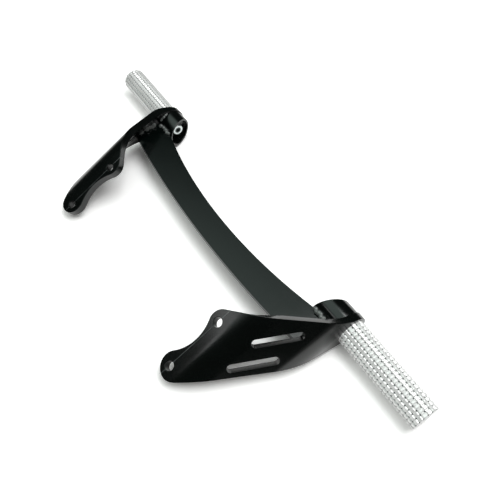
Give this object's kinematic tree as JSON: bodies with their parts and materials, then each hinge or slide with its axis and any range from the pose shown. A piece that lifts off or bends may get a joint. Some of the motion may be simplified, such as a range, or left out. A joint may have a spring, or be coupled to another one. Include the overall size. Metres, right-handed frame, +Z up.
{
  "type": "rear sets footrest",
  "caption": "Curved crossbar welded between folded, slotted side plates with mounting flanges, and a toothed round foot peg bolted at each end.",
  "frame": {"origin": "on the table, under the middle of the footprint, midway between the two side plates; the set stands on the round ends of its plates", "axes": "+X along the right peg, -Y toward the mounting flanges, +Z up"},
  "size_m": [0.5354, 0.179, 0.0555],
  "materials": {
    "black_paint": "gloss",
    "weld_paint": "gloss, rough bead",
    "bright_aluminium": "bright, toothed",
    "zinc_plate": "bright zinc"
  },
  "bodies": {
    "root": {"crossbar": "black_paint", "right_bracket": "black_paint", "right_boss": "black_paint", "right_peg": "bright_aluminium", "right_peg_screw": "zinc_plate", "right_plate_weld_top": "weld_paint", "right_plate_weld_bottom": "weld_paint", "right_side_weld_top": "weld_paint", "right_side_weld_bottom": "weld_paint", "right_boss_weld_top": "weld_paint", "right_boss_weld_bottom": "weld_paint", "left_bracket": "black_paint", "left_boss": "black_paint", "left_peg": "bright_aluminium", "left_peg_screw": "zinc_plate", "left_plate_weld_top": "weld_paint", "left_plate_weld_bottom": "weld_paint", "left_side_weld_top": "weld_paint", "left_side_weld_bottom": "weld_paint", "left_boss_weld_top": "weld_paint", "left_boss_weld_bottom": "weld_paint"}
  },
  "joints": []
}
